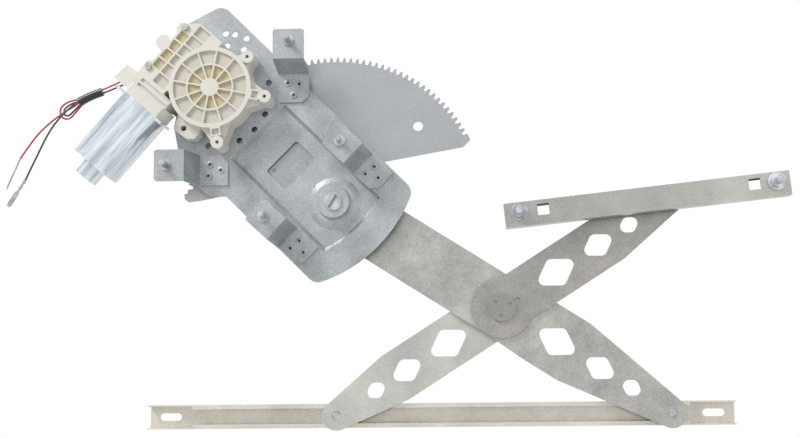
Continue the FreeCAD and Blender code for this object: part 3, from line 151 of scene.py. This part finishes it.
def new_finish(name):
    """An empty material and its principled shader."""
    material = bpy.data.materials.new(name)
    material.use_nodes = True
    tree = material.node_tree
    return material, tree, tree.nodes["Principled BSDF"]


def dress(material, *names):
    """Give CAD nodes their finish."""
    for name in names:
        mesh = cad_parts[name].data
        mesh.materials.clear()
        mesh.materials.append(material)


SHARP_EDGE = math.radians(40)


def ease_edges(width, *names):
    """A small bevel on a node's sharp edges, as rolled, stamped or moulded edges have. Edges that
    turn by less than 40 degrees stay as they are."""
    for name in names:
        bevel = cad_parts[name].modifiers.new("eased_edges", "BEVEL")
        bevel.width = width
        bevel.segments = 2
        bevel.limit_method = "ANGLE"
        bevel.angle_limit = SHARP_EDGE
        bevel.harden_normals = True


CLOUD, CRYSTAL = 0.04, 0.002


def galvanised(name, light, dark, gloss, cloudy, blank=0.0):
    """Hot-dip galvanised sheet. Its zinc dulls in clouds of some centimetres, and its crystals show
    as a fine mottle. A crystal is really about 0.5 mm wide and is drawn at 2 mm, so that it shows.
    Pieces with another blank number are cut from another spot of the sheet."""
    material, tree, shader = new_finish(name)
    place = add_node(tree, "ShaderNodeTexCoord")
    cloud = add_node(tree, "ShaderNodeTexNoise",
                     {"noise_dimensions": "4D", "W": blank, "Scale": 1 / CLOUD, "Detail": 5.0,
                      "Roughness": 0.65},
                     {"Vector": place.outputs["Object"]})
    clouds = add_node(tree, "ShaderNodeMapRange",
                      {"From Min": 0.33, "From Max": 0.67,
                       "To Min": 0.5 - cloudy / 2, "To Max": 0.5 + cloudy / 2},
                      {"Value": cloud.outputs["Fac"]})
    crystals = add_node(tree, "ShaderNodeTexNoise",
                        {"noise_dimensions": "4D", "W": blank, "Scale": 1 / CRYSTAL,
                         "Detail": 1.0},
                        {"Vector": place.outputs["Object"]})
    mottle = add_node(tree, "ShaderNodeMapRange",
                      {"From Min": 0.3, "From Max": 0.7, "To Min": -0.2, "To Max": 0.2},
                      {"Value": crystals.outputs["Fac"]})
    blotched = add_node(tree, "ShaderNodeMath", {"operation": "ADD"},
                        {0: clouds.outputs[0], 1: mottle.outputs[0]})
    tone = add_node(tree, "ShaderNodeMix",
                    {"data_type": "RGBA", 6: linear(dark), 7: linear(light)},
                    {0: blotched.outputs[0]})
    tree.links.new(tone.outputs[2], shader.inputs["Base Color"])
    sheen = add_node(tree, "ShaderNodeMapRange", {"To Min": gloss + 0.1, "To Max": gloss - 0.1},
                     {"Value": cloud.outputs["Fac"]})
    tree.links.new(sheen.outputs[0], shader.inputs["Roughness"])
    dents = add_node(tree, "ShaderNodeBump", {"Strength": 0.15, "Distance": 0.0002},
                     {"Height": cloud.outputs["Fac"]})
    tree.links.new(dents.outputs[0], shader.inputs["Normal"])
    shader.inputs["Metallic"].default_value = 0.5
    return material


# Base plate: one pressing of galvanised steel, with a dish, a window and a boss for the lift pivot.
# Four bent straps of the same sheet hold it behind the door panel, each by three blind rivets.
PRESSED_EDGE = 0.0008
plate_steel = galvanised("galvanised_plate_steel", "#c2c7ca", "#8b8f92", gloss=0.38, cloudy=0.65)
dress(plate_steel, "base_plate", "bracket_top", "bracket_left", "bracket_right", "bracket_lower",
      "bracket_rivets")
ease_edges(PRESSED_EDGE, "base_plate", "bracket_top", "bracket_left", "bracket_right",
           "bracket_lower")

# Arms: blanked from a thicker galvanised sheet, warmer than the plate's. Each comes from another
# spot of the sheet, so its clouds and tone are its own. The centre hub, which joins the crossing
# arm's two halves through the lift arm, is pressed from darker and evener sheet.
BLANKED_EDGE = 0.0006
for arm, light, dark, cloudy, blank in (
        ("lift_arm", "#cccac4", "#999a97", 0.75, 3.1),
        ("equalizer_arm_upper", "#b7b4ae", "#888784", 0.65, 5.7),
        ("equalizer_arm_lower", "#d6d5ce", "#adaea9", 0.65, 8.3),
        ("centre_pivot_hub", "#a3a29f", "#878784", 0.4, 9.9)):
    dress(galvanised("galvanised_" + arm, light, dark, 0.34, cloudy, blank), arm)
ease_edges(BLANKED_EDGE, "lift_arm", "equalizer_arm_upper", "equalizer_arm_lower",
           "centre_pivot_hub")

# Gear sector: fine-blanked from 3 mm sheet, so its face is the smoothest and evenest of the steel.
FINE_EDGE = 0.0002
sector_steel = galvanised("galvanised_sector_steel", "#b9bcbf", "#a0a3a6", gloss=0.32, cloudy=0.3)
dress(sector_steel, "sector_gear")
ease_edges(FINE_EDGE, "sector_gear")

# Glass channel: roll-formed galvanised strip, open to the front. The grease that the sliders leave
# in it gives it a yellowish cast. Its tone is also painted lighter, as painted light that makes up
# for the shade its rims cast on its floor.
ROLLED_EDGE = 0.0006
glass_steel = galvanised("galvanised_glass_channel", "#e9e4d8", "#c0bcb2", gloss=0.26, cloudy=0.5)
dress(glass_steel, "glass_channel")
ease_edges(ROLLED_EDGE, "glass_channel")

# Equalizer channel: the same strip, less yellow, and folded a little rounder. It is open to the
# back, so that its web faces the viewer.
FOLDED_EDGE = 0.0008
short_steel = galvanised("galvanised_equalizer_channel", "#bfbdb8", "#979691", gloss=0.26,
                         cloudy=0.5)
dress(short_steel, "equalizer_channel")
ease_edges(FOLDED_EDGE, "equalizer_channel")


MOTOR_ANGLE = math.radians(49)
EVEN_CLOUD = (0.012, 0.012, 0.012)


def plated(name, light, dark, gloss, cloud_size=EVEN_CLOUD):
    """Zinc plating and other thin skins on metal, slightly clouded by handling. A cloud's size is
    given along the motor, which lies at 49 degrees to the glass channel, and across it. On the
    motor can the clouds are long painted reflection streaks."""
    material, tree, shader = new_finish(name)
    place = add_node(tree, "ShaderNodeTexCoord")
    along_motor = add_node(tree, "ShaderNodeMapping",
                           {"vector_type": "TEXTURE", "Rotation": (0, -MOTOR_ANGLE, 0),
                            "Scale": cloud_size},
                           {"Vector": place.outputs["Object"]})
    cloud = add_node(tree, "ShaderNodeTexNoise", {"Scale": 1.0, "Detail": 4.0, "Roughness": 0.6},
                     {"Vector": along_motor.outputs[0]})
    spread = add_node(tree, "ShaderNodeMapRange", {"From Min": 0.35, "From Max": 0.62},
                      {"Value": cloud.outputs["Fac"]})
    tone = add_node(tree, "ShaderNodeMix",
                    {"data_type": "RGBA", 6: linear(dark), 7: linear(light)},
                    {0: spread.outputs[0]})
    tree.links.new(tone.outputs[2], shader.inputs["Base Color"])
    smear = add_node(tree, "ShaderNodeMapRange", {"To Min": gloss + 0.1, "To Max": gloss - 0.06},
                     {"Value": cloud.outputs["Fac"]})
    tree.links.new(smear.outputs[0], shader.inputs["Roughness"])
    shader.inputs["Metallic"].default_value = 0.75
    return material


# Pins, studs, bolts and what turns in the gearbox: turned or headed steel with bright zinc plating.
HEADED_EDGE = 0.0003
bright_steel = plated("zinc_plated_fasteners", "#d0d3d6", "#9da1a6", gloss=0.28)
dress(bright_steel, "panel_studs", "pivot_pin", "right_pin", "left_pin", "upper_pin",
      "equalizer_bolts", "sector_rivets", "gearbox_screws", "retaining_clip", "pinion", "drive_hub",
      "armature_shaft")
ease_edges(HEADED_EDGE, "pivot_pin", "panel_studs", "equalizer_bolts")

# Rivet recesses: dark discs, three to a bracket, as painted shade in the hollow of each blind
# rivet's head. Each lies at the bottom of its rivet's head. A bracket is given by the foot of its
# step and the way in which it points.
SHADE_DISC_REACH, SHADE_DISC_FRONT, SHADE_DISC_BACK = 0.0014, 0.02712, 0.0278
RIVET_SPOTS = ((-0.0058, -0.009), (0.0058, -0.0105), (0, -0.0215))
BRACKET_FEET = (((-0.041, 0.133), 90), ((-0.137, 0.0352), 180), ((0.0295, 0.039), 137),
                ((-0.0465, -0.0355), 137))
# Painted shade: the discs' dark tone stands for the shade inside each rivet's recess.
recess_shade_finish = plated("painted_shade_rivet_recesses", "#4d5053", "#37393b", gloss=0.5)
shade_disc_shape = bmesh.new()
for foot, angle in BRACKET_FEET:
    cosine, sine = math.cos(math.radians(angle)), math.sin(math.radians(angle))
    for across, along in RIVET_SPOTS:
        spot = (foot[0] + along * cosine + across * sine, (SHADE_DISC_FRONT + SHADE_DISC_BACK) / 2,
                foot[1] + along * sine - across * cosine)
        stand = Matrix.Translation(spot) @ Matrix.Rotation(math.pi / 2, 4, "X")
        bmesh.ops.create_cone(shade_disc_shape, cap_ends=True, segments=16, radius1=SHADE_DISC_REACH,
                              radius2=SHADE_DISC_REACH, depth=SHADE_DISC_BACK - SHADE_DISC_FRONT, matrix=stand)
shade_disc_mesh = bpy.data.meshes.new("rivet_recess_shade")
shade_disc_shape.to_mesh(shade_disc_mesh)
shade_disc_shape.free()
shade_disc_mesh.materials.append(recess_shade_finish)
rivet_recess_shade = bpy.data.objects.new("rivet_recess_shade", shade_disc_mesh)
bpy.context.scene.collection.objects.link(rivet_recess_shade)
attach(rivet_recess_shade, "base")

# Housing screws: two pan heads in the tunnel's face, their plating dulled by heat and grease.
dull_steel = plated("dulled_zinc_screws", "#c3c1b8", "#8f8d86", gloss=0.45)
dress(dull_steel, "housing_screws")

# Motor can: deep-drawn steel with zinc plating, the brightest metal on the part. Its tone carries
# painted reflections: light and dark streaks along it, about 60 mm long and 6 mm apart.
REFLECTION_STREAK = (0.06, 0.006, 0.006)
DRAWN_EDGE = 0.0008
can_steel = plated("zinc_plated_motor_can", "#e6edf1", "#b2bdc5", gloss=0.18,
                   cloud_size=REFLECTION_STREAK)
dress(can_steel, "motor_can")
ease_edges(DRAWN_EDGE, "motor_can")


SKIN_CLOUD, SKIN_GRAIN = 0.018, 0.0006


def moulded(name, colour, shade, gloss):
    """Moulded plastic, with faint clouds of about 18 mm in its tone and the fine grain that its
    mould's surface leaves, which is 0.6 mm wide."""
    material, tree, shader = new_finish(name)
    place = add_node(tree, "ShaderNodeTexCoord")
    skin = add_node(tree, "ShaderNodeTexNoise", {"Scale": 1 / SKIN_CLOUD, "Detail": 4.0},
                    {"Vector": place.outputs["Object"]})
    tone = add_node(tree, "ShaderNodeMix",
                    {"data_type": "RGBA", 6: linear(shade), 7: linear(colour)},
                    {0: skin.outputs["Fac"]})
    tree.links.new(tone.outputs[2], shader.inputs["Base Color"])
    grain = add_node(tree, "ShaderNodeTexNoise", {"Scale": 1 / SKIN_GRAIN, "Detail": 2.0},
                     {"Vector": place.outputs["Object"]})
    relief = add_node(tree, "ShaderNodeBump", {"Strength": 0.06, "Distance": 0.0001},
                      {"Height": grain.outputs["Fac"]})
    tree.links.new(relief.outputs[0], shader.inputs["Normal"])
    shader.inputs["Roughness"].default_value = gloss
    return material, tree, shader, tone


# Gear housing: natural, unpigmented plastic, an ivory. Its cell floors are painted darker, as
# painted shade in the recesses, and a darker, tan painted shade lies on the floors of the drum's
# inner cells and of the tunnel's outer row. All cell floors face the door panel at one depth,
# which is how the painted shade finds them.
housing_plastic, tree, shader, ivory = moulded("natural_moulded_housing", "#e0ded7", "#d3d0c6",
                                               gloss=0.40)
# Painted shade: every cell floor takes the pale shade colour, and the floors in the deep zones take
# the tan one.
SHADED_FLOOR, TAN_SHADED_FLOOR = "#cbc6b9", "#c6b890"
CELL_FLOOR = (0.0079, 0.0094)
DRUM_AXIS = (-0.12165, 0.11544)
INNER_CELLS = 0.0232
OUTER_ROW = 0.0494
FACING_FRONT = -0.7
MOULDED_EDGE = 0.0004
place = add_node(tree, "ShaderNodeTexCoord")
spot = add_node(tree, "ShaderNodeVectorMath",
                {"operation": "SUBTRACT", 1: (DRUM_AXIS[0], 0, DRUM_AXIS[1])},
                {0: place.outputs["Object"]})
off_motor = add_node(tree, "ShaderNodeVectorMath",
                     {"operation": "DOT_PRODUCT",
                      1: (-math.sin(MOTOR_ANGLE), 0, math.cos(MOTOR_ANGLE))},
                     {0: spot.outputs[0]})
in_row = add_node(tree, "ShaderNodeMath", {"operation": "GREATER_THAN", 1: OUTER_ROW},
                  {0: off_motor.outputs["Value"]})
flat_spot = add_node(tree, "ShaderNodeVectorMath", {"operation": "MULTIPLY", 1: (1, 0, 1)},
                     {0: spot.outputs[0]})
from_axis = add_node(tree, "ShaderNodeVectorMath", {"operation": "LENGTH"},
                     {0: flat_spot.outputs[0]})
in_drum = add_node(tree, "ShaderNodeMath", {"operation": "LESS_THAN", 1: INNER_CELLS},
                   {0: from_axis.outputs["Value"]})
# The zones whose cell floors take the tan painted shade: the drum's inner cells and the tunnel's
# outer row.
deep_shade_zones = add_node(tree, "ShaderNodeMath", {"operation": "MAXIMUM"},
                {0: in_row.outputs[0], 1: in_drum.outputs[0]})
deep = add_node(tree, "ShaderNodeSeparateXYZ", links={0: place.outputs["Object"]})
at_floor = add_node(tree, "ShaderNodeMath",
                    {"operation": "COMPARE", 1: sum(CELL_FLOOR) / 2,
                     2: (CELL_FLOOR[1] - CELL_FLOOR[0]) / 2},
                    {0: deep.outputs["Y"]})
turn = add_node(tree, "ShaderNodeNewGeometry")
faces = add_node(tree, "ShaderNodeSeparateXYZ", links={0: turn.outputs["True Normal"]})
forwards = add_node(tree, "ShaderNodeMath", {"operation": "LESS_THAN", 1: FACING_FRONT},
                    {0: faces.outputs["Y"]})
floor_of_cell = add_node(tree, "ShaderNodeMath", {"operation": "MULTIPLY"},
                         {0: at_floor.outputs[0], 1: forwards.outputs[0]})
# Painted shade on the cell floors: tan in those zones, pale elsewhere.
deep_shade_mask = add_node(tree, "ShaderNodeMath", {"operation": "MULTIPLY"},
                     {0: floor_of_cell.outputs[0], 1: deep_shade_zones.outputs[0]})
floor_shade_mix = add_node(tree, "ShaderNodeMix", {"data_type": "RGBA", 7: linear(SHADED_FLOOR)},
                      {0: floor_of_cell.outputs[0], 6: ivory.outputs[2]})
mixed = add_node(tree, "ShaderNodeMix", {"data_type": "RGBA", 7: linear(TAN_SHADED_FLOOR)},
                 {0: deep_shade_mask.outputs[0], 6: floor_shade_mix.outputs[2]})
tree.links.new(mixed.outputs[2], shader.inputs["Base Color"])
dress(housing_plastic, "gear_housing")
ease_edges(MOULDED_EDGE, "gear_housing")

# Inside the housing: a worm wheel of natural plastic with its rubber damper, and the cover behind
# it. The brush holder, which closes the mouth of the motor can, is of the same plastic.
gear_plastic = moulded("natural_moulded_gear", "#e6dfca", "#d8cfb6", gloss=0.4)[0]
dress(gear_plastic, "worm_wheel", "housing_cover", "brush_holder")
soft_rubber = moulded("moulded_black_rubber", "#29292b", "#1c1c1e", gloss=0.7)[0]
dress(soft_rubber, "rubber_damper")

# Sliders, bush and spacer: white low-friction plastic, a little glossier than the housing.
slider_plastic = moulded("white_acetal", "#efeee8", "#e2e0d8", gloss=0.34)[0]
dress(slider_plastic, "right_slider", "left_slider", "upper_slider", "pivot_bush", "centre_spacer")

# Motor internals: sintered magnets, a laminated core and a copper commutator, all shut in the can.
dark_core = plated("sintered_magnet", "#4a4b4f", "#36373a", gloss=0.6)
dress(dark_core, "motor_magnets", "armature_core")
bare_copper = plated("bare_copper", "#c98a5c", "#a96f46", gloss=0.35)
dress(bare_copper, "commutator")

# Motor leads: soft insulated wire, one red and one dark green. Both leave the housing's tower,
# are folded back once, and are held in that fold by wound tape. The red one ends bare and tinned,
# and the green one in a crimped terminal.
WIRE = 0.0018
RED_LENGTH, GREEN_LENGTH = 0.2067, 0.2105
RED_ROUTE = (
    (-0.21783, 0.020, 0.12609), (-0.2363, 0.0204, 0.1182), (-0.2485, 0.0206, 0.1137),
    (-0.2601, 0.0206, 0.1091), (-0.2715, 0.0212, 0.1073), (-0.280, 0.0216, 0.1006),
    (-0.2786, 0.0218, 0.0908), (-0.270, 0.0218, 0.0882), (-0.2626, 0.0216, 0.097),
    (-0.2561, 0.0215, 0.1046), (-0.2501, 0.0215, 0.1071), (-0.2507, 0.0173, 0.1085),
    (-0.2571, 0.0185, 0.1058), (-0.2655, 0.0187, 0.1006), (-0.2745, 0.0189, 0.0954),
    (-0.2908, 0.019, 0.0836), (-0.3055, 0.020, 0.0691), (-0.3189, 0.020, 0.0489))
GREEN_ROUTE = (
    (-0.21443, 0.020, 0.12313), (-0.2348, 0.020, 0.1146), (-0.2479, 0.0222, 0.1124),
    (-0.2595, 0.0223, 0.1077), (-0.269, 0.0222, 0.105), (-0.276, 0.022, 0.0994),
    (-0.2752, 0.0218, 0.0933), (-0.2706, 0.0218, 0.0922), (-0.2654, 0.0219, 0.0976),
    (-0.2568, 0.0222, 0.1064), (-0.2514, 0.0222, 0.1087), (-0.252, 0.0181, 0.1101),
    (-0.2578, 0.0165, 0.1074), (-0.266, 0.0162, 0.1004), (-0.2773, 0.0166, 0.0903),
    (-0.2891, 0.0176, 0.0752), (-0.3013, 0.020, 0.0523), (-0.3132, 0.020, 0.0268))


def run_lead(name, route, material):
    """A lead as one smooth curve along its route."""
    line = bpy.data.curves.new(name, "CURVE")
    line.dimensions = "3D"
    line.bevel_depth = WIRE / 2
    line.bevel_resolution = 4
    line.use_fill_caps = True
    spline = line.splines.new("NURBS")
    spline.points.add(len(route) - 1)
    for point, corner in zip(spline.points, route):
        point.co = (*corner, 1)
    spline.order_u = 3
    spline.use_endpoint_u = True
    spline.resolution_u = 8
    line.materials.append(material)
    lead = bpy.data.objects.new(name, line)
    bpy.context.scene.collection.objects.link(lead)
    return lead


red_insulation = moulded("red_wire_insulation", "#c9414a", "#ad2c36", gloss=0.35)[0]
green_insulation = moulded("dark_green_wire_insulation", "#28473b", "#1a2a25", gloss=0.35)[0]
tinned_copper = plated("tinned_copper", "#b9b9b4", "#8f8f8a", gloss=0.38)
dress(tinned_copper, "red_bare_end", "green_terminal")
tape = moulded("wound_tape", "#34353a", "#17171a", gloss=0.3)[0]
dress(tape, "tape_wrap")
red_lead = run_lead("red_lead", RED_ROUTE, red_insulation)
green_lead = run_lead("green_lead", GREEN_ROUTE, green_insulation)
for lead, node, route, held, length, far_end in (
        (red_lead, "red_wire", RED_ROUTE, ("red_bare_end", "tape_wrap"), RED_LENGTH, "bare"),
        (green_lead, "green_wire", GREEN_ROUTE, ("green_terminal",), GREEN_LENGTH, "connector")):
    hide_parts(node)
    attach(lead, "base")
